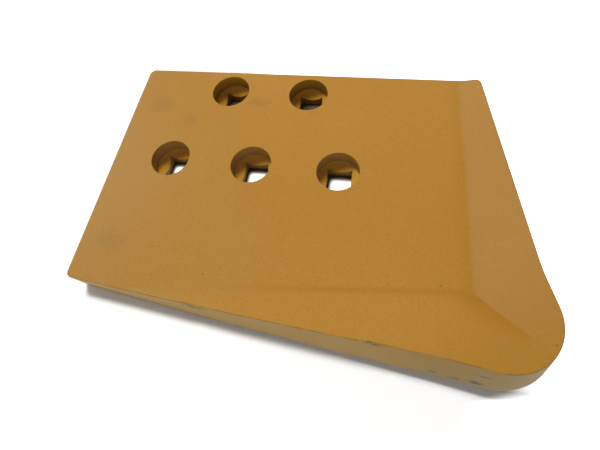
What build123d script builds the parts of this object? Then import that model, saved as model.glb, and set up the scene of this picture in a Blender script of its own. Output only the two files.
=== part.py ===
from build123d import *

import os
from math import radians, tan

# Dozer end bit: one heavy steel plate, cupped forward at its toe, bolted on by five plow bolts.
# Millimetres. The back of the plate lies on the plane Z = 0 and +Z comes out of the digging face.
# +X runs along the bolt rows from the joint with the cutting edge to the toe, +Y runs up the blade.
# The origin is on the back, in the middle of the bolt pattern.

# plate
thickness = 25.4
edge_round = 1.5  # radius left on the rim of the back

# bolt pattern: three holes in the lower row and two in the upper row, staggered by half a pitch
bolt_pitch = 76.2
bolt_row_gap = 79.4

# plow bolt seat: straight recess for the head, cone, then the square that holds the neck
recess_radius = 18.0
recess_depth = 12.3
cone_angle = 90.0  # whole angle of the cone
neck_square = 21.5

# outline on the back plane: square joint end and top, outer end that flares, sloping lower edge
joint_margin = 54.9  # joint end to the nearest hole
top_margin = 23.5  # top edge to the upper row
joint_height = 221.9  # length of the joint end
top_length = 324.8  # length of the top edge
flare_step = (36.9, -171.1)  # from the outer top corner to where the end turns outwards
toe_step = (26.2, -91.8)  # from there to where the end and the lower edge would meet
knee_from_toe = 101.8  # where the lean of the lower edge has grown to its full angle
joint_corner_radius = 4.0
outer_top_radius = 6.0
flare_radius = 150.0
toe_radius = 45.2
knee_radius = 250.0

# the edge walls stay nearly square to the bent plate, so they lean inwards as they rise
outer_end_lean = 12.0
knee_lean = 22.4  # lower edge at the knee, dying away towards the joint end
toe_lean = 21.0  # lower edge at the toe
toe_taper = 0.26  # toe radius lost for each millimetre of height

# side flange and lower flange: each bend starts along a line through the valley point
valley_step = (-76.3, 72.7)  # from the toe corner to the valley point
side_direction = (-12.5, 190.7)
side_angle = 13.0
side_bend_radius = 50.0  # on the digging face
lower_direction = (25.0, 3.0)
lower_angle = 17.0
lower_bend_radius = 110.0  # on the digging face

# heights of the two sections the outline is drawn at, below and above all of the plate
below = -10.0
above = 45.0
reach = 500.0  # how far the bends are carried past the plate

joint_x = -bolt_pitch - joint_margin
top_y = bolt_row_gap / 2 + top_margin
joint_bottom_y = top_y - joint_height
outer_top_x = joint_x + top_length
flare_corner = (outer_top_x + flare_step[0], top_y + flare_step[1])
toe_corner = (flare_corner[0] + toe_step[0], flare_corner[1] + toe_step[1])
lower_slope = (toe_corner[1] - joint_bottom_y) / (toe_corner[0] - joint_x)
knee_x = toe_corner[0] - knee_from_toe
knee_y = toe_corner[1] - knee_from_toe * lower_slope
valley = (toe_corner[0] + valley_step[0], toe_corner[1] + valley_step[1])


def outline(level):
    """The outline of the plate at a height above its back, drawn inwards by the lean of the walls."""
    end_in = level * tan(radians(outer_end_lean))
    knee_up = level * tan(radians(knee_lean))
    toe_up = level * tan(radians(toe_lean))
    corners = (
        ((joint_x, joint_bottom_y), joint_corner_radius),
        ((joint_x, top_y), joint_corner_radius),
        ((outer_top_x - end_in, top_y), outer_top_radius),
        ((flare_corner[0] - end_in, flare_corner[1]), flare_radius),
        ((toe_corner[0] - end_in, toe_corner[1] + toe_up), toe_radius - toe_taper * level),
        ((knee_x, knee_y + knee_up), knee_radius),
    )
    with BuildSketch(Plane.XY.offset(level)) as shape:
        with BuildLine():
            Polyline(*[corner for corner, _ in corners], close=True)
        make_face()
        for corner, radius in corners:
            fillet(shape.vertices().sort_by_distance(corner)[:1], radius)
    return shape.sketch


def bend_section(direction, angle, face_radius, level):
    """The open space above a flat at this height that rises in a bend, cut across the bend.

    The bend starts on the line through the valley point, on either side of the plate.
    """
    radius = face_radius + thickness - level
    corner = radius * tan(radians(angle / 2))
    along = Vector(*direction).normalized()
    section_plane = Plane(
        origin=(*valley, level), x_dir=along.cross(Vector(0, 0, 1)), z_dir=-along
    )
    with BuildSketch(section_plane) as section:
        with BuildLine():
            Polyline(
                (-reach, 0),
                (corner, 0),
                (reach, (reach - corner) * tan(radians(angle))),
                (reach, reach),
                (-reach, reach),
                close=True,
            )
        make_face()
        fillet(section.vertices().sort_by_distance((corner, 0))[:1], radius)
    return section.sketch


def open_space(level):
    """The space above the cupped surface whose flat lies at this height."""
    with BuildPart() as space:
        extrude(bend_section(side_direction, side_angle, side_bend_radius, level), reach, both=True)
        extrude(
            bend_section(lower_direction, lower_angle, lower_bend_radius, level),
            reach,
            both=True,
            mode=Mode.INTERSECT,
        )
    return space.part


# profile of one bolt seat, from the tip of the cone to the digging face
cone_tip = thickness - recess_depth - recess_radius / tan(radians(cone_angle / 2))
with BuildPart() as bolt_seat:
    with BuildSketch(Plane.XZ):
        with BuildLine():
            Polyline(
                (0, cone_tip),
                (recess_radius, thickness - recess_depth),
                (recess_radius, 2 * thickness),
                (0, 2 * thickness),
                close=True,
            )
        make_face()
    revolve(axis=Axis.Z)
    with BuildSketch():
        Rectangle(neck_square, neck_square)
    extrude(amount=2 * thickness)

# the plate itself
with BuildPart() as end_bit:
    add(outline(below))
    add(outline(above))
    loft(ruled=True)
    add(open_space(0), mode=Mode.INTERSECT)
    back = end_bit.faces().filter_by(lambda face: face.normal_at().Z < -0.5)
    walls = end_bit.faces().filter_by(lambda face: abs(face.normal_at().Z) < 0.5)
    fillet([edge for edge in walls.edges() if edge in back.edges()], edge_round)
    add(open_space(thickness), mode=Mode.SUBTRACT)
    lower_row = [(x, -bolt_row_gap / 2) for x in (-bolt_pitch, 0, bolt_pitch)]
    upper_row = [(x, bolt_row_gap / 2) for x in (-bolt_pitch / 2, bolt_pitch / 2)]
    with Locations(*lower_row, *upper_row):
        add(bolt_seat.part, mode=Mode.SUBTRACT)
end_bit.part.label = "end_bit"

os.makedirs("parts", exist_ok=True)
export_step(end_bit.part, "parts/end_bit.step")
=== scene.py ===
from math import atan2, cos, pi, radians, sin, sqrt, tan

import bpy
from mathutils import Matrix, Vector, noise


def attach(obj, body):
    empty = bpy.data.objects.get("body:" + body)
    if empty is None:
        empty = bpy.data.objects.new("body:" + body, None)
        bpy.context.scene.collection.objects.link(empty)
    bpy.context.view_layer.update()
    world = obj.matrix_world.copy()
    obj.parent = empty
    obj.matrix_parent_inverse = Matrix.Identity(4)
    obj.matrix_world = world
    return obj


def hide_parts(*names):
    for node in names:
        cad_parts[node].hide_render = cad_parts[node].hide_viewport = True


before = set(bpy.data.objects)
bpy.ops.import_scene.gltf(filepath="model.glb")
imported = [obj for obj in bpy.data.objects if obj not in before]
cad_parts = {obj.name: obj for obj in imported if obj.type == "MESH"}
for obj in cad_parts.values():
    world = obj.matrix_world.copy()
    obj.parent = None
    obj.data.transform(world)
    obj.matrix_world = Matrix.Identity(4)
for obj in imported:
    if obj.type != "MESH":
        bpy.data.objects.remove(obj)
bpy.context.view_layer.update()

# Camera. It stands close over the lower edge and looks back up the digging face, so that the toe
# is large, the joint end falls away and the wall of the lower edge shows.
camera_place = (0.105712, -0.200212, 0.29128)
camera_right = Vector((0.977616, 0.169141, -0.125133))
camera_up = Vector((-0.107447, 0.9127, 0.394251))
camera_data = bpy.data.cameras.new("photo_camera")
camera_data.sensor_width = 36.0
camera_data.lens = 22.1495
camera_data.clip_start = 0.01
camera_data.clip_end = 50.0
camera = bpy.data.objects.new("photo_camera", camera_data)
bpy.context.scene.collection.objects.link(camera)
camera_back = camera_right.cross(camera_up)
camera_turn = Matrix((camera_right, camera_up, camera_back)).transposed().to_4x4()
camera.matrix_world = Matrix.Translation(camera_place) @ camera_turn
bpy.context.scene.camera = camera

# Plate of the end bit. One piece of thick steel, cut to its outline with walls that lean in at
# the toe, and bent forward along two lines that meet in a shallow valley.
thickness = 0.0254
valley_point = Vector((0.1805, -0.127))
side_run = Vector((-12.5, 190.7)).normalized()
lower_run = Vector((-25.0, -3.0)).normalized()
side_bend = {
    "outwards": Vector((side_run.y, -side_run.x)),
    "turn": radians(13.0),
    "radius": 0.05,
}
lower_bend = {
    "outwards": Vector((-lower_run.y, lower_run.x)),
    "turn": radians(14.0),
    "radius": 0.05,
}
crisp_reach = 0.034
crisp_softness = 0.0003
softness_growth = 0.3
softness_limit = 0.008


def bend_rise(bend, x, y, depth):
    """How far a bend lifts a point that lies this deep under the digging face."""
    out = (Vector((x, y)) - valley_point).dot(bend["outwards"])
    turn = bend["turn"]
    radius = bend["radius"] + depth
    if out <= 0.0:
        return 0.0
    if out < radius * sin(turn):
        return radius - sqrt(radius * radius - out * out)
    return radius * (1.0 - cos(turn)) + (out - radius * sin(turn)) * tan(turn)


def plate_rise(x, y, depth):
    """The lift of both bends, run together softly in the valley and more softly near the toe."""
    side = bend_rise(side_bend, x, y, depth)
    lower = bend_rise(lower_bend, x, y, depth)
    beyond_crisp = max(0.0, (Vector((x, y)) - valley_point).length - crisp_reach)
    softness = crisp_softness + softness_growth * beyond_crisp
    softness = min(softness, softness_limit, 0.8 * max(side, lower))
    overlap = max(softness - abs(side - lower), 0.0)
    blend = overlap * overlap / (4.0 * softness) if overlap > 0.0 else 0.0
    return max(side, lower) + blend


end_lean = tan(radians(12.0))
toe_lean = tan(radians(21.0))
lower_lean = tan(radians(22.4))
joint_x = -0.1311
top_y = 0.0632
toe_x, toe_y = 0.2568, -0.1997
knee_x = 0.1550
knee_y = toe_y + (toe_x - knee_x) * 0.0410 / 0.3879


def outline_at(level):
    """Points round the plate's outline at one height, counter-clockwise from the toe."""
    end_in = level * end_lean
    # each corner: its place, the radius of its round and the steps in that round
    corners = (
        ((toe_x - end_in, toe_y + level * toe_lean), 0.0452 - 0.26 * level, 26),
        ((0.2306 - end_in, -0.1079), 0.150, 6),
        ((0.1937 - end_in, top_y), 0.006, 6),
        ((joint_x, top_y), 0.006, 8),
        ((joint_x, -0.1587), 0.005, 8),
        ((knee_x, knee_y + level * lower_lean), 0.250, 6),
    )
    points = []
    for index, (corner, radius, steps) in enumerate(corners):
        here = Vector(corner)
        to_last = (Vector(corners[index - 1][0]) - here).normalized()
        to_next = (Vector(corners[(index + 1) % len(corners)][0]) - here).normalized()
        half = to_last.angle(to_next) / 2.0
        centre = here + (to_last + to_next).normalized() * radius / sin(half)
        start = here + to_last * radius / tan(half) - centre
        end = here + to_next * radius / tan(half) - centre
        first = atan2(start.y, start.x)
        turn = (atan2(end.y, end.x) - first + pi) % (2.0 * pi) - pi
        for step in range(steps + 1):
            angle = first + turn * step / steps
            points.append(centre + radius * Vector((cos(angle), sin(angle))))
    return points


def spaced(points, pairs, gap):
    """The same outline with its long straight runs divided, by the run lengths of its pair."""
    divided = []
    for index, point in enumerate(points):
        following = (index + 1) % len(points)
        parts = max(1, int((pairs[following] - pairs[index]).length / gap))
        for part in range(parts):
            divided.append(point.lerp(points[following], part / parts))
    return divided


high_level = 0.040


def rim_point(low, high, base, depth):
    """Where a leaning wall meets the bent back or face, found by trying ever nearer heights."""
    height = base
    for _ in range(12):
        point = low.lerp(high, height / high_level)
        height = base + plate_rise(point.x, point.y, depth)
    return point


outline_low = outline_at(0.0)
rim_gap = 0.006
low_points = spaced(outline_low, outline_low, rim_gap)
high_points = spaced(outline_at(high_level), outline_low, rim_gap)
back_rim = [rim_point(low, high, 0.0, thickness) for low, high in zip(low_points, high_points)]
face_rim = [rim_point(low, high, thickness, 0.0) for low, high in zip(low_points, high_points)]

bpy.ops.object.select_all(action="DESELECT")
bpy.ops.mesh.primitive_circle_add(vertices=len(back_rim), radius=0.2, fill_type="NGON")
plate = bpy.context.object
plate.name = "end_bit_plate"
mesh = plate.data
for vertex, point in zip(mesh.vertices, back_rim):
    vertex.co = (point.x, point.y, 0.0)
bpy.ops.object.mode_set(mode="EDIT")
bpy.ops.mesh.select_all(action="SELECT")
bpy.ops.mesh.extrude_region_move(TRANSFORM_OT_translate={"value": (0.0, 0.0, thickness)})
bpy.ops.object.mode_set(mode="OBJECT")
for vertex, point in zip(mesh.vertices[len(back_rim):], face_rim):
    vertex.co = (point.x, point.y, thickness)
bpy.ops.object.mode_set(mode="EDIT")
bpy.ops.mesh.select_all(action="SELECT")
bpy.ops.mesh.normals_make_consistent(inside=False)
bpy.ops.object.mode_set(mode="OBJECT")

# Plow bolt seats. Five of them, three in the lower row and two above: a round recess that takes
# the bolt's head, a cone that it pulls down on, and a square hole that keeps its neck from turning.
pitch = 0.0762
row_y = 0.0397
seat_grid = ((-1, -1), (0, -1), (1, -1), (-0.5, 1), (0.5, 1))
seat_places = [Vector((x * pitch, y * row_y)) for x, y in seat_grid]
recess_radius = 0.018
recess_floor = thickness - 0.0123
cone_depth = 0.012
cone_end = (recess_radius - cone_depth) / recess_radius
neck_side = 0.0215
tool_height = 0.03
bpy.ops.object.select_all(action="DESELECT")
bpy.ops.mesh.primitive_cylinder_add(vertices=72, radius=recess_radius, depth=tool_height)
recess_tool = bpy.context.object
bpy.ops.object.mode_set(mode="EDIT")
bpy.ops.mesh.select_all(action="SELECT")
bpy.ops.transform.translate(value=(0.0, 0.0, recess_floor + tool_height / 2.0))
bpy.ops.mesh.select_all(action="DESELECT")
bpy.ops.object.mode_set(mode="OBJECT")
for face in recess_tool.data.polygons:
    face.select = face.normal.z < -0.9
bpy.ops.object.mode_set(mode="EDIT")
bpy.ops.mesh.select_mode(type="FACE")
bpy.ops.mesh.extrude_region_move(TRANSFORM_OT_translate={"value": (0.0, 0.0, -cone_depth)})
bpy.ops.transform.resize(value=(cone_end, cone_end, 1.0))
bpy.ops.object.mode_set(mode="OBJECT")
bpy.ops.object.select_all(action="DESELECT")
bpy.ops.mesh.primitive_cube_add(size=1.0, location=(0.0, 0.0, 0.0))
neck_tool = bpy.context.object
bpy.ops.object.mode_set(mode="EDIT")
bpy.ops.mesh.select_all(action="SELECT")
bpy.ops.transform.resize(value=(neck_side, neck_side, 2.0 * tool_height))
bpy.ops.object.mode_set(mode="OBJECT")
for tool in (recess_tool, neck_tool):
    copies = []
    for seat in seat_places:
        copy = tool.copy()
        copy.data = tool.data.copy()
        copy.data.transform(Matrix.Translation((seat.x, seat.y, 0.0)))
        bpy.context.scene.collection.objects.link(copy)
        copies.append(copy)
    bpy.ops.object.select_all(action="DESELECT")
    for copy in copies:
        copy.select_set(True)
    bpy.context.view_layer.objects.active = copies[0]
    bpy.ops.object.join()
    cut = plate.modifiers.new("seat_cut", "BOOLEAN")
    cut.operation = "DIFFERENCE"
    cut.solver = "EXACT"
    cut.object = copies[0]
    bpy.ops.object.select_all(action="DESELECT")
    plate.select_set(True)
    bpy.context.view_layer.objects.active = plate
    bpy.ops.object.modifier_apply(modifier="seat_cut")
    bpy.data.objects.remove(copies[0])
    bpy.data.objects.remove(tool)

# Rims. The paint and years of handling leave no sharp edge: the outer rims are rounded by about
# a millimetre and a half, the mouths of the recesses and of the square holes by less.
rim_width = 0.0015
recess_mouth_share = 0.45
hole_mouth_share = 0.3
smallest_turn = radians(35.0)
seat_reach = 0.025
level_error = 1e-5
for name in ("painted", "rounded"):
    mesh.materials.append(bpy.data.materials.new(name))
weights = mesh.attributes.new("bevel_weight_edge", "FLOAT", "EDGE")
edge_faces = {}
for face in mesh.polygons:
    for key in face.edge_keys:
        edge_faces.setdefault(key, []).append(face.normal)
for edge in mesh.edges:
    ends = [mesh.vertices[index].co for index in edge.vertices]
    normals = edge_faces[edge.key]
    if len(normals) != 2 or normals[0].angle(normals[1]) < smallest_turn:
        continue
    middle = (ends[0] + ends[1]) / 2.0
    nearest = min((middle.xy - seat).length for seat in seat_places)
    on_face = min(end.z for end in ends) > thickness - level_error
    on_back = max(end.z for end in ends) < level_error
    if nearest > seat_reach and (on_face or on_back):
        weights.data[edge.index].value = 1.0
    elif on_face:
        weights.data[edge.index].value = recess_mouth_share
    elif on_back:
        weights.data[edge.index].value = hole_mouth_share
rounding = plate.modifiers.new("rim_rounding", "BEVEL")
rounding.width = rim_width
rounding.segments = 3
rounding.limit_method = "WEIGHT"
rounding.material = 1
rounding.use_clamp_overlap = True
bpy.ops.object.modifier_apply(modifier="rim_rounding")

# Bending. The flat plate is scored along both bends, down the valley and finely where its rim is
# knocked, so that it can follow the curves, and every point is then lifted by the two bends.
first_score = 0.0002
bpy.ops.object.mode_set(mode="EDIT")
bpy.ops.mesh.select_mode(type="VERT")
for bend, reach, step in ((side_bend, 0.072, 0.0024), (lower_bend, 0.078, 0.0026)):
    outwards = bend["outwards"]
    for count in range(int(reach / step)):
        middle = valley_point + outwards * (first_score + step * count)
        bpy.ops.mesh.select_all(action="SELECT")
        bpy.ops.mesh.bisect(
            plane_co=(middle.x, middle.y, 0.0), plane_no=(outwards.x, outwards.y, 0.0)
        )
valley_side = Vector((0.6188, 0.7856))
for offset in (-0.0024, -0.0012, 0.0, 0.0012, 0.0024):
    middle = valley_point + valley_side * offset
    bpy.ops.mesh.select_all(action="SELECT")
    bpy.ops.mesh.bisect(
        plane_co=(middle.x, middle.y, 0.0), plane_no=(valley_side.x, valley_side.y, 0.0)
    )
# each knock: its left end, its right end and its depth
knocks = ((-0.0290, -0.0040, 0.0009), (0.1060, 0.1335, 0.0013))
knock_step = 0.0011
near_lower_edge = -0.150
for left, right, _ in knocks:
    for count in range(int((right - left) / knock_step)):
        bpy.ops.mesh.select_all(action="DESELECT")
        bpy.ops.object.mode_set(mode="OBJECT")
        for face in mesh.polygons:
            face.select = face.center.y < near_lower_edge
        bpy.ops.object.mode_set(mode="EDIT")
        bpy.ops.mesh.bisect(
            plane_co=(left + knock_step * count, 0.0, 0.0), plane_no=(1.0, 0.0, 0.0)
        )
bpy.ops.object.mode_set(mode="OBJECT")
for vertex in mesh.vertices:
    depth = min(max(thickness - vertex.co.z, 0.0), thickness)
    vertex.co.z += plate_rise(vertex.co.x, vertex.co.y, depth)

# Knocks. Two short stretches of the lower rim have been struck: the rounded edge is pressed in
# and left ragged there, by about a millimetre.
rim_depth_limit = 0.003
rim_points = set()
for face in mesh.polygons:
    if face.material_index == 1:
        rim_points.update(face.vertices)
for index in rim_points:
    vertex = mesh.vertices[index]
    rim_depth = thickness + plate_rise(vertex.co.x, vertex.co.y, 0.0) - vertex.co.z
    for left, right, deep in knocks:
        share = (vertex.co.x - left) / (right - left)
        on_rim = rim_depth < rim_depth_limit and vertex.co.y < near_lower_edge
        if on_rim and 0.0 < share < 1.0:
            ragged = 0.55 + 0.9 * noise.noise(Vector((vertex.co.x * 480.0, 1.7, 0.3)))
            pressed = deep * sqrt(sin(pi * share)) * max(ragged, 0.0)
            vertex.co += Vector((0.0, 0.6 * pressed, -pressed))
rim_mark = mesh.color_attributes.new("rim", "FLOAT_COLOR", "CORNER")
for face in mesh.polygons:
    level = 1.0 if face.material_index == 1 else 0.0
    for corner in face.loop_indices:
        rim_mark.data[corner].color = (level, level, level, 1.0)


# Paint. One coat of ochre enamel over the rough steel, slightly clouded and knocked off in small
# spots along the lower edge. A painted sheen and shade make the side flange paler. The walls carry
# a film that is partly dirt and partly painted sheen, and the joint end is darker. The creases and
# seats carry painted shade, and the cones painted light.
def new_material(name):
    """A new material with its node tree and its shader."""
    material = bpy.data.materials.new(name)
    material.use_nodes = True
    return material, material.node_tree, material.node_tree.nodes["Principled BSDF"]


def combine(operation, first, second):
    """One sum, product or the like of two values of the surface."""
    node = tree.nodes.new("ShaderNodeMath")
    node.operation = operation
    for socket, value in zip(node.inputs, (first, second)):
        if isinstance(value, float):
            socket.default_value = value
        else:
            tree.links.new(value, socket)
    return node.outputs["Value"]


def product(*values):
    """Several values of the surface multiplied."""
    together = values[0]
    for value in values[1:]:
        together = combine("MULTIPLY", together, value)
    return together


def largest(*values):
    """The largest of several values of the surface."""
    together = values[0]
    for value in values[1:]:
        together = combine("MAXIMUM", together, value)
    return together


def fade(value, start, end):
    """A value that goes softly from 0 to 1 between two values of another."""
    node = tree.nodes.new("ShaderNodeMapRange")
    node.interpolation_type = "SMOOTHSTEP"
    flip = start > end
    node.inputs["From Min"].default_value = min(start, end)
    node.inputs["From Max"].default_value = max(start, end)
    node.inputs["To Min"].default_value = 1.0 if flip else 0.0
    node.inputs["To Max"].default_value = 0.0 if flip else 1.0
    tree.links.new(value, node.inputs["Value"])
    return node.outputs["Result"]


def split(vector):
    """The three parts of a vector of the surface."""
    node = tree.nodes.new("ShaderNodeSeparateXYZ")
    tree.links.new(vector, node.inputs["Vector"])
    return node.outputs


def wrapped(value, half):
    """A value that starts again after each full step, so that it runs from -half to half."""
    node = tree.nodes.new("ShaderNodeMath")
    node.operation = "WRAP"
    tree.links.new(value, node.inputs[0])
    node.inputs[1].default_value = half
    node.inputs[2].default_value = -half
    return node.outputs["Value"]


def along(direction, origin=(0.0, 0.0, 0.0)):
    """How far a point of the surface lies from an origin, measured in one direction."""
    node = tree.nodes.new("ShaderNodeVectorMath")
    node.operation = "DOT_PRODUCT"
    node.inputs[1].default_value = direction
    tree.links.new(place.outputs["Object"], node.inputs[0])
    start = float(Vector(direction).dot(Vector(origin)))
    return combine("SUBTRACT", node.outputs["Value"], start)


def distance(centre, size):
    """How far a point of the surface lies from a centre, with 1 on an ellipsoid of that size."""
    fitted = tree.nodes.new("ShaderNodeMapping")
    fitted.vector_type = "TEXTURE"
    fitted.inputs["Location"].default_value = centre
    fitted.inputs["Scale"].default_value = size
    reach = tree.nodes.new("ShaderNodeVectorMath")
    reach.operation = "LENGTH"
    tree.links.new(place.outputs["Object"], fitted.inputs["Vector"])
    tree.links.new(fitted.outputs["Vector"], reach.inputs[0])
    return reach.outputs["Value"]


def clouds(scale, detail, stretch=(1.0, 1.0, 1.0)):
    """Irregular cloudiness of a given fineness, from 0 to 1 about 0.5."""
    sizing = tree.nodes.new("ShaderNodeMapping")
    sizing.inputs["Scale"].default_value = stretch
    texture = tree.nodes.new("ShaderNodeTexNoise")
    texture.inputs["Scale"].default_value = scale
    texture.inputs["Detail"].default_value = detail
    tree.links.new(place.outputs["Object"], sizing.inputs["Vector"])
    tree.links.new(sizing.outputs["Vector"], texture.inputs["Vector"])
    return texture.outputs["Fac"]


def coat(under, over, amount):
    """One colour laid over another by an amount that changes over the surface."""
    node = tree.nodes.new("ShaderNodeMix")
    node.data_type = "RGBA"
    for socket, value in ((node.inputs[6], under), (node.inputs[7], over)):
        if isinstance(value, tuple):
            socket.default_value = value
        else:
            tree.links.new(value, socket)
    tree.links.new(amount, node.inputs[0])
    return node.outputs[2]


ochre = (0.455, 0.223, 0.037, 1.0)
deep_ochre = (0.355, 0.152, 0.009, 1.0)
light_ochre = (0.47, 0.235, 0.052, 1.0)
seat_ochre = (0.33, 0.16, 0.010, 1.0)
# lighter, yellower ochre for the painted light on the cones
lit_cone_ochre = (0.62, 0.32, 0.034, 1.0)
# darker brown for the painted shade in the necks of the square holes
neck_shade_brown = (0.28, 0.175, 0.03, 1.0)
# pale grey-brown for the painted sheen and shade on the side flange
flange_sheen = (0.37, 0.245, 0.12, 1.0)
# paler, greyer film for the outer walls: partly dirt, partly painted sheen
wall_film_and_sheen = (0.37, 0.27, 0.07, 1.0)
# dark brown for grime, also used as painted shade in the seats
grime_and_shade = (0.17, 0.12, 0.03, 1.0)
# dark steel for scuffs and specks, and for the painted shadow under the burr
dark_steel_and_shadow = (0.055, 0.06, 0.055, 1.0)
bare_steel = (0.02, 0.018, 0.01, 1.0)
rust = (0.28, 0.08, 0.02, 1.0)
paint, tree, shader = new_material("ochre_paint")
place = tree.nodes.new("ShaderNodeTexCoord")

# broad clouds, blotches and grain
broad = clouds(7.0, 3.0)
blotches = clouds(28.0, 4.0)
grain = clouds(620.0, 3.0)
colour = coat(ochre, deep_ochre, product(fade(broad, 0.45, 0.75), 0.25))
colour = coat(colour, light_ochre, product(fade(blotches, 0.5, 0.75), 0.3))
colour = coat(colour, deep_ochre, product(fade(grain, 0.4, 0.7), 0.38))

# the side flange is paler and greyer than the rest, a painted sheen and shade for its tilt to the
# light, and both ends are darker
side_outwards = (*side_bend["outwards"], 0.0)
lower_outwards = (*lower_bend["outwards"], 0.0)
side_out = along(side_outwards, (*valley_point, 0.0))
lower_out = along(lower_outwards, (*valley_point, 0.0))
past_valley = combine("SUBTRACT", side_out, product(lower_out, 1.06))
on_flange = product(
    fade(side_out, 0.0, 0.0045), fade(past_valley, -0.0008, 0.0008), fade(lower_out, 0.044, 0.018)
)
colour = coat(colour, flange_sheen, product(on_flange, 0.22))
joint_end = fade(along((1.0, 0.25, 0.0)), 0.03, -0.15)
colour = coat(colour, grime_and_shade, product(joint_end, 0.19))
toe_end = fade(along((0.75, -0.66, 0.0)), 0.19, 0.3)
colour = coat(colour, deep_ochre, product(toe_end, 0.35))
colour = coat(colour, grime_and_shade, product(toe_end, 0.08))

# painted shade: the creases of the two bends and of the valley are painted darker
side_crease = product(
    fade(side_out, -0.012, 0.0), fade(side_out, 0.0035, 0.0), fade(lower_out, 0.004, 0.0)
)
lower_crease = product(
    fade(lower_out, -0.0035, 0.0005),
    fade(lower_out, 0.005, 0.001),
    fade(along((1.0, 0.0, 0.0)), -0.03, 0.09),
    fade(side_out, 0.004, 0.0),
)
valley_crease = product(
    fade(past_valley, -0.026, -0.0005),
    fade(past_valley, 0.001, -0.0005),
    fade(lower_out, 0.038, 0.024),
    fade(lower_out, -0.001, 0.004),
)
crease_shade = largest(
    product(side_crease, 0.2), product(lower_crease, 0.35), product(valley_crease, 0.6)
)
colour = coat(colour, deep_ochre, crease_shade)

# the outer walls carry a paler, greyer film, partly dirt and partly painted sheen, and are darker
# towards the toe; in the seats the paint is a darker ochre, with painted shade in the corner under
# the recess wall and in the neck, and painted light on the cone
facing = split(place.outputs["Normal"])
spot = split(place.outputs["Object"])
wall = fade(facing["Z"], 0.75, 0.55)
upper_shift = product(combine("GREATER_THAN", spot["Y"], 0.0), pitch / 2.0)
across = wrapped(combine("ADD", spot["X"], upper_shift), pitch / 2.0)
upwards = combine("SUBTRACT", combine("ABSOLUTE", spot["Y"], 0.0), row_y)
from_bolt = combine("ADD", product(across, across), product(upwards, upwards))
from_bolt = combine("POWER", from_bolt, 0.5)
outermost = pitch + recess_radius + 0.001
in_seat = product(
    fade(from_bolt, recess_radius + 0.0012, recess_radius + 0.0004),
    fade(spot["Z"], thickness - 0.0001, thickness - 0.0011),
    fade(spot["Z"], 0.0002, 0.0012),
    fade(combine("ABSOLUTE", spot["X"], 0.0), outermost + 0.0004, outermost),
)
neck_reach = 0.0158
in_neck = product(in_seat, wall, fade(from_bolt, neck_reach + 0.001, neck_reach))
on_cone = product(in_seat, fade(facing["Z"], 0.45, 0.6))
seat_corner_shade = product(in_seat, fade(spot["Z"], recess_floor + 0.0084, recess_floor + 0.0009))
outer_wall = product(wall, combine("SUBTRACT", 1.0, in_seat))
colour = coat(colour, wall_film_and_sheen, product(outer_wall, 0.5))
colour = coat(colour, grime_and_shade, product(outer_wall, toe_end, 0.6))
colour = coat(colour, seat_ochre, product(in_seat, 0.8))
# painted shade: the foot of the recess wall, in the corner above the cone, is painted darker
colour = coat(colour, grime_and_shade, product(seat_corner_shade, wall, 0.55))
# painted light: the cone is painted a lighter, yellower ochre
colour = coat(colour, lit_cone_ochre, product(on_cone, 0.9))
# painted shade: the neck of each square hole is painted a darker brown
colour = coat(colour, neck_shade_brown, product(in_neck, 0.7))

# the rims are olive with grime, in a broken line
rim = tree.nodes.new("ShaderNodeAttribute")
rim.attribute_name = "rim"
broken_line = combine("ADD", product(fade(clouds(150.0, 3.0), 0.4, 0.6), 0.45), 0.2)
colour = coat(colour, grime_and_shade, product(rim.outputs["Fac"], broken_line))

# smudges, scuffs and specks lie where the plate was handled, with a painted shadow under a burr on
# the knocked rim
uneven = clouds(520.0, 3.0, (0.45, 1.0, 1.0))
uneven = product(combine("SUBTRACT", uneven, 0.5), 1.6)


def marks(*spots):
    """Ragged spots of the surface, each about a centre with a size, 1 inside and 0 outside."""
    return largest(*(
        fade(combine("ADD", distance(centre, size), uneven), 1.1, 0.45) for centre, size in spots
    ))


smudges = marks(
    ((-0.1041, 0.0193, thickness), (0.014, 0.011, 0.004)),
    ((-0.0696, 0.0034, thickness), (0.008, 0.007, 0.004)),
    ((-0.0077, 0.0276, thickness), (0.014, 0.006, 0.004)),
    ((-0.1033, -0.1241, thickness), (0.016, 0.011, 0.004)),
)
rim_grime = marks(
    ((0.2255, -0.1705, 0.0335), (0.0080, 0.0080, 0.0050)),
    ((0.1420, -0.1765, 0.0330), (0.0050, 0.0016, 0.0040)),
    ((0.1560, -0.1785, 0.0345), (0.0035, 0.0014, 0.0040)),
)
scuffs_specks_and_shadow = marks(
    # the first spot is a painted shadow under the lifted burr on the knocked front rim
    ((0.1165, -0.1738, 0.0318), (0.0080, 0.003, 0.0009)),
    ((0.1578, -0.1828, 0.0157), (0.0042, 0.004, 0.0017)),
    ((0.1731, -0.1846, 0.0156), (0.0045, 0.004, 0.0014)),
    ((0.1850, -0.1850, 0.0178), (0.0068, 0.004, 0.0024)),
    ((0.1868, -0.1814, 0.0272), (0.0056, 0.004, 0.0013)),
    ((0.0137, -0.1731, 0.0047), (0.0038, 0.003, 0.0014)),
    ((0.0373, -0.1749, 0.0062), (0.0034, 0.003, 0.0013)),
    ((0.0525, -0.1763, 0.0068), (0.0050, 0.003, 0.0011)),
    ((0.0131, -0.0118, thickness), (0.0008, 0.0007, 0.002)),
    ((0.0551, -0.1607, 0.0270), (0.0008, 0.0007, 0.002)),
    ((-0.0157, -0.1412, thickness), (0.0008, 0.0007, 0.002)),
    ((0.0480, -0.1246, thickness), (0.0006, 0.0006, 0.002)),
    ((0.1600, -0.1260, thickness), (0.0010, 0.0006, 0.002)),
)
worn_spots = marks(
    ((-0.0172, -0.1663, 0.0241), (0.0105, 0.004, 0.0018)),
    ((0.1850, -0.1850, 0.0170), (0.0040, 0.004, 0.0014)),
)
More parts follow.
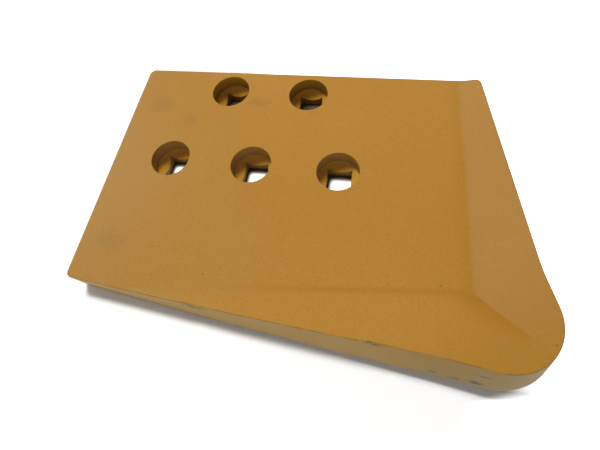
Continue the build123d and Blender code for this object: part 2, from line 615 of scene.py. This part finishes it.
rust_spot = marks(((0.2274, -0.1565, 0.0344), (0.0009, 0.0009, 0.002)))
colour = coat(colour, grime_and_shade, product(smudges, 0.18))
colour = coat(colour, grime_and_shade, product(rim_grime, 0.35))
colour = coat(colour, dark_steel_and_shadow, product(scuffs_specks_and_shadow, 0.6))
colour = coat(colour, bare_steel, product(worn_spots, 0.7))
colour = coat(colour, rust, product(rust_spot, 0.7))
tree.links.new(colour, shader.inputs["Base Color"])

# the coat is glossy where it is clean, duller in blotches and on the walls, with an orange peel
roughness = combine("ADD", product(fade(blotches, 0.35, 0.7), 0.08), 0.33)
roughness = combine("ADD", roughness, product(largest(wall, in_seat), 0.3))
tree.links.new(roughness, shader.inputs["Roughness"])
peel = tree.nodes.new("ShaderNodeBump")
peel.inputs["Strength"].default_value = 0.25
peel.inputs["Distance"].default_value = 0.0002
tree.links.new(combine("ADD", clouds(420.0, 2.0), product(grain, 0.4)), peel.inputs["Height"])
tree.links.new(peel.outputs["Normal"], shader.inputs["Normal"])
mesh.materials[0] = paint
for face in mesh.polygons:
    face.material_index = 0
mesh.materials.pop(index=1)
bpy.ops.object.select_all(action="DESELECT")
plate.select_set(True)
bpy.context.view_layer.objects.active = plate
bpy.ops.object.shade_smooth_by_angle(angle=radians(38.0))
evening = plate.modifiers.new("even_normals", "WEIGHTED_NORMAL")
evening.keep_sharp = True
evening.weight = 60
bpy.ops.object.modifier_apply(modifier="even_normals")
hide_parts("end_bit")
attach(plate, "root")

# Floor. A wide sheet of white paper that takes the part's shadow. Just outside that shadow the
# camera sees it as pure white. Under the plate the paper is painted dark, a painted shadow seen
# through the holes, and in each square hole of the lower row the camera sees a painted pool of
# white light.
white = (1.0, 1.0, 1.0, 1.0)
hole_shadow_paint = (0.09, 0.08, 0.064, 1.0)
bpy.ops.object.select_all(action="DESELECT")
bpy.ops.mesh.primitive_plane_add(size=12.0, location=(0.0, 0.0, 0.0))
floor = bpy.context.object
floor.name = "floor"
paper, tree, shader = new_material("white_paper")
place = tree.nodes.new("ShaderNodeTexCoord")
shader.inputs["Roughness"].default_value = 0.9
shader.inputs["Specular IOR Level"].default_value = 0.0
shader.inputs["Emission Color"].default_value = white
spot = split(place.outputs["Object"])
open_floor = fade(distance((0.05, -0.055, 0.0), (0.225, 0.185, 1.0)), 1.0, 1.4)
# beside and below the toe the white glow paints light over part of the real shadow
beside_toe = fade(along((0.75, 0.66, 0.0)), 0.032, 0.052)
below_toe = product(
    fade(along((0.385, -0.923, 0.0), (0.205, -0.191, 0.0)), -0.003, 0.005),
    fade(spot["X"], 0.180, 0.200),
)
painted_light_patch = product(
    fade(wrapped(spot["X"], pitch / 2.0), -0.0098, -0.0042),
    fade(spot["Y"], 0.0079 - row_y, 0.0019 - row_y),
)
under_x, under_y, under_edge = 0.091, 0.0525, 0.002
under_plate = product(
    fade(spot["Y"], -under_y - under_edge, -under_y),
    fade(spot["Y"], under_y + under_edge, under_y),
    fade(combine("ABSOLUTE", spot["X"], 0.0), under_x + under_edge, under_x),
)
beyond_plate = combine("SUBTRACT", 1.0, under_plate)
glow = combine(
    "ADD",
    product(largest(open_floor, beside_toe, below_toe), beyond_plate),
    product(painted_light_patch, under_plate),
)
hole_shadow_patch = product(under_plate, combine("SUBTRACT", 1.0, painted_light_patch))
tree.links.new(coat(white, hole_shadow_paint, hole_shadow_patch), shader.inputs["Base Color"])


def seen():
    """1 for what the camera sees, also in gloss and through glass, and 0 for light on the part."""
    rays = tree.nodes.new("ShaderNodeLightPath")
    names = ("Is Camera Ray", "Is Glossy Ray", "Is Transmission Ray")
    return largest(*(rays.outputs[name] for name in names))


tree.links.new(product(seen(), product(glow, 0.92)), shader.inputs["Emission Strength"])
floor.data.materials.append(paper)

# Backdrop. A low white screen stands all round near the floor's edge, so that no horizon shows
# from the side. The gloss of the paint shows it, and otherwise it neither lights nor shades.
screen_height = 3.4
bpy.ops.object.select_all(action="DESELECT")
bpy.ops.mesh.primitive_cylinder_add(
    vertices=96, radius=5.6, depth=screen_height, end_fill_type="NOTHING", location=(0.0, 0.0, 1.6)
)
screen = bpy.context.object
screen.name = "backdrop"
screen_paper, tree, shader = new_material("white_screen")
shader.inputs["Base Color"].default_value = (0.9, 0.9, 0.9, 1.0)
shader.inputs["Roughness"].default_value = 0.9
shader.inputs["Emission Color"].default_value = white
tree.links.new(seen(), shader.inputs["Emission Strength"])
screen.data.materials.append(screen_paper)
screen.visible_diffuse = False
screen.visible_shadow = False

# Studio light. A softbox high at the back left throws the shadow under the lower edge, a wide
# panel over the joint end gives the paint its pale sheen there, and a lamp in front and the pale
# room fill in the rest.
world = bpy.data.worlds.new("room")
world.use_nodes = True
background = world.node_tree.nodes["Background"]
background.inputs["Color"].default_value = white
background.inputs["Strength"].default_value = 0.15
bpy.context.scene.world = world
# each lamp: its name, place, aim, width, height, watts and whether the gloss shows it
lamps = (
    ("softbox", (-0.5, 0.78, 2.35), (0.1, -0.06, 0.0), 0.46, 0.46, 57.5, False),
    ("wide_panel", (-1.18, 0.4, 0.95), (-0.1, -0.05, 0.0), 0.8, 1.0, 2.3, True),
    ("front_fill", (0.2, -1.6, 0.5), (0.05, -0.15, 0.0), 1.2, 0.8, 5.0, False),
)
for name, position, aim, width, height, watts, in_gloss in lamps:
    lamp_data = bpy.data.lights.new(name, "AREA")
    lamp_data.shape = "RECTANGLE"
    lamp_data.size = width
    lamp_data.size_y = height
    lamp_data.energy = watts
    lamp = bpy.data.objects.new(name, lamp_data)
    lamp.location = position
    lamp.rotation_euler = (Vector(aim) - Vector(position)).to_track_quat("-Z", "Y").to_euler()
    lamp.visible_glossy = in_gloss
    bpy.context.scene.collection.objects.link(lamp)

bpy.context.scene.view_settings.view_transform = "Standard"
